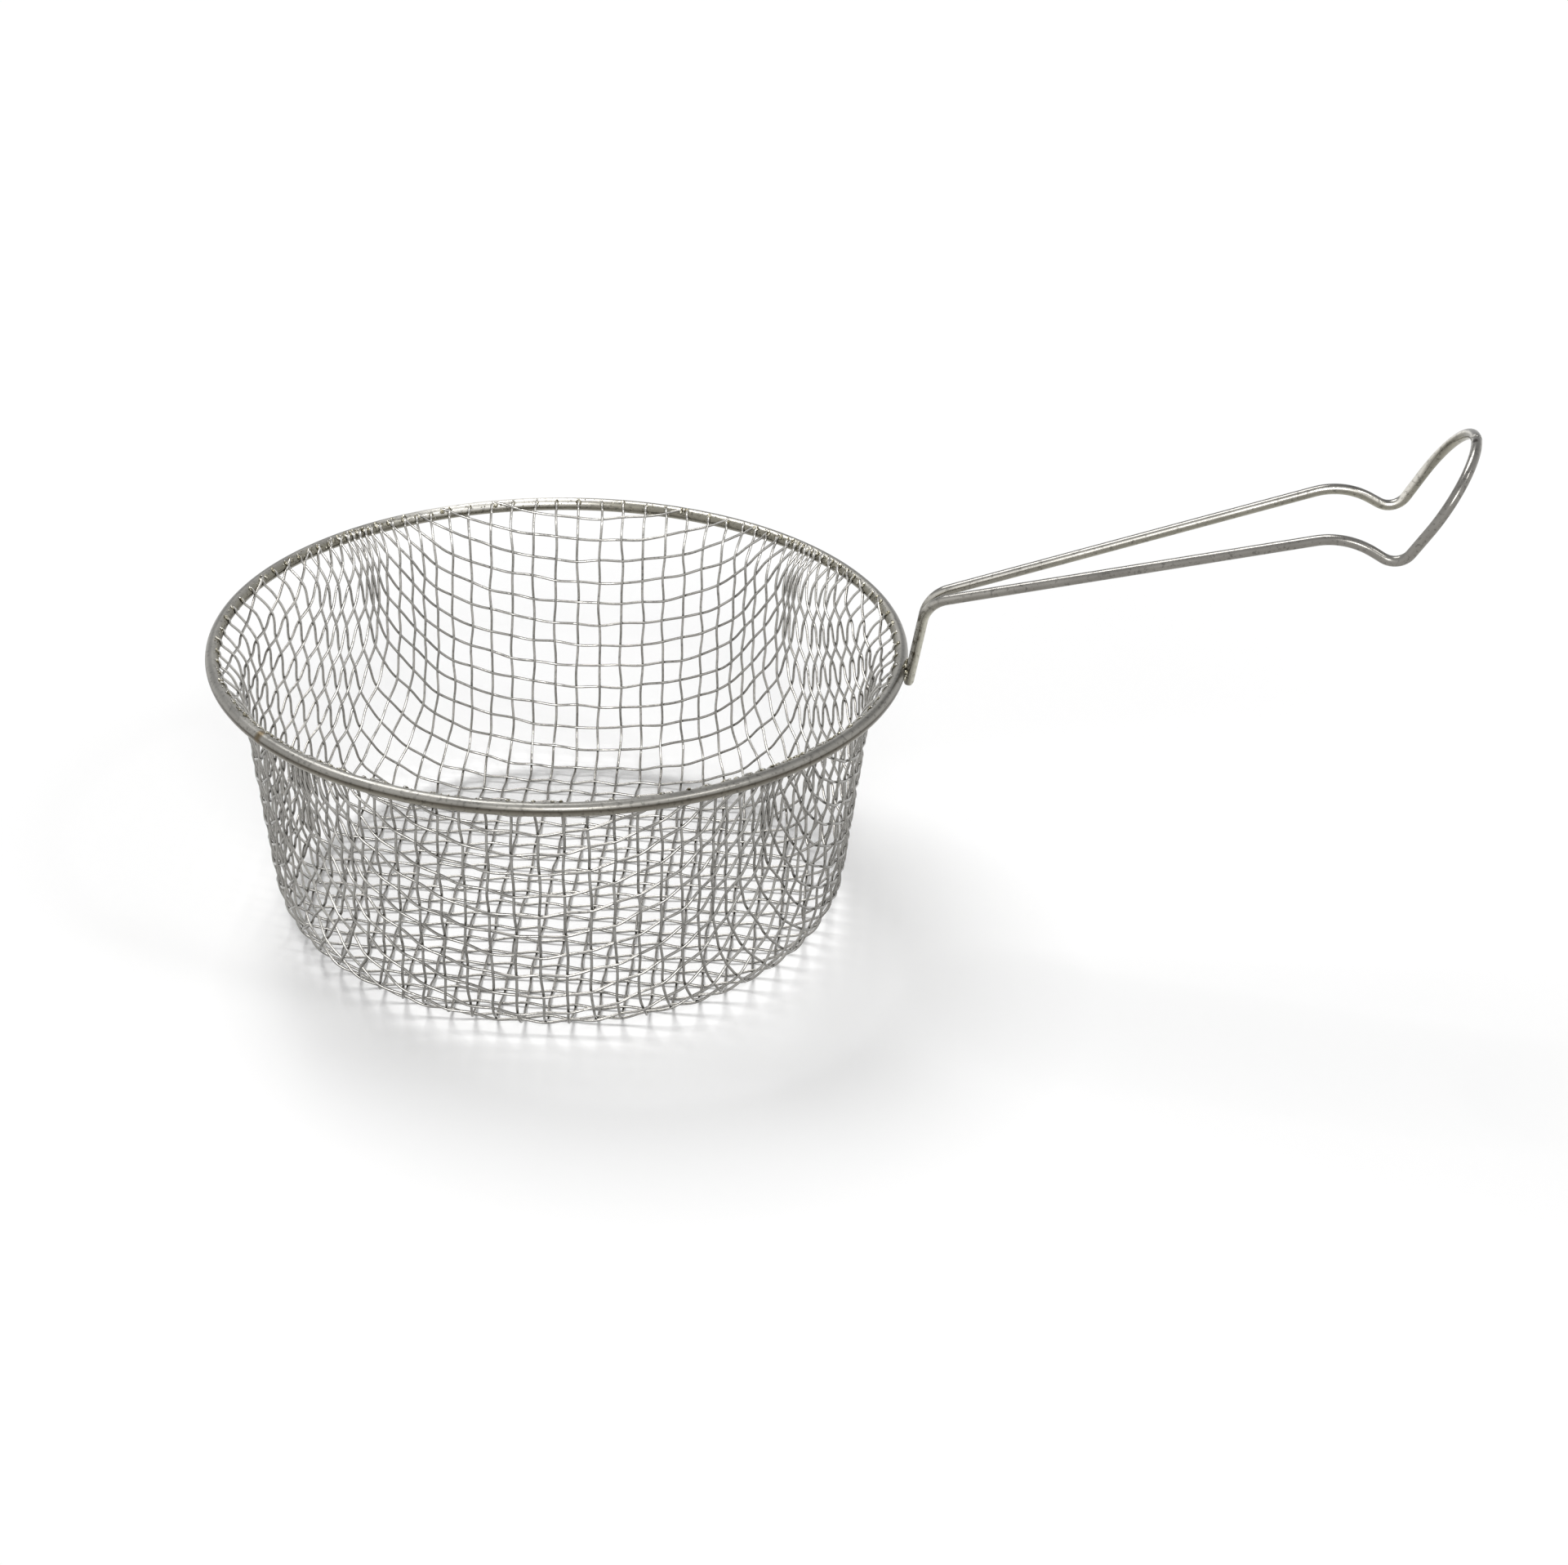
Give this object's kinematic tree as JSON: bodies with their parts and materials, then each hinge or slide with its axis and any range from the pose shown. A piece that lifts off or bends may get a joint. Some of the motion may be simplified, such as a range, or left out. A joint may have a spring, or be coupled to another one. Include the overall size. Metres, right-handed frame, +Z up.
{
  "type": "deep fryer basket",
  "caption": "Round deep fryer basket: a woven wire cloth bowl welded to a wire rim ring, with a raised bent wire handle ending in a hanging loop.",
  "frame": {"origin": "centre of the bowl's flat base, on the plane it rests on", "axes": "+Z up along the bowl's axis, +X from the bowl's axis towards the handle's loop, +Y to the left of the handle seen from the bowl"},
  "size_m": [0.3517, 0.2, 0.1645],
  "materials": {
    "mesh": "tinned wire, dull satin",
    "ring": "satin",
    "handle": "satin"
  },
  "bodies": {
    "root": {"mesh_bowl": "mesh", "rim_ring": "ring", "handle": "handle"}
  },
  "joints": []
}
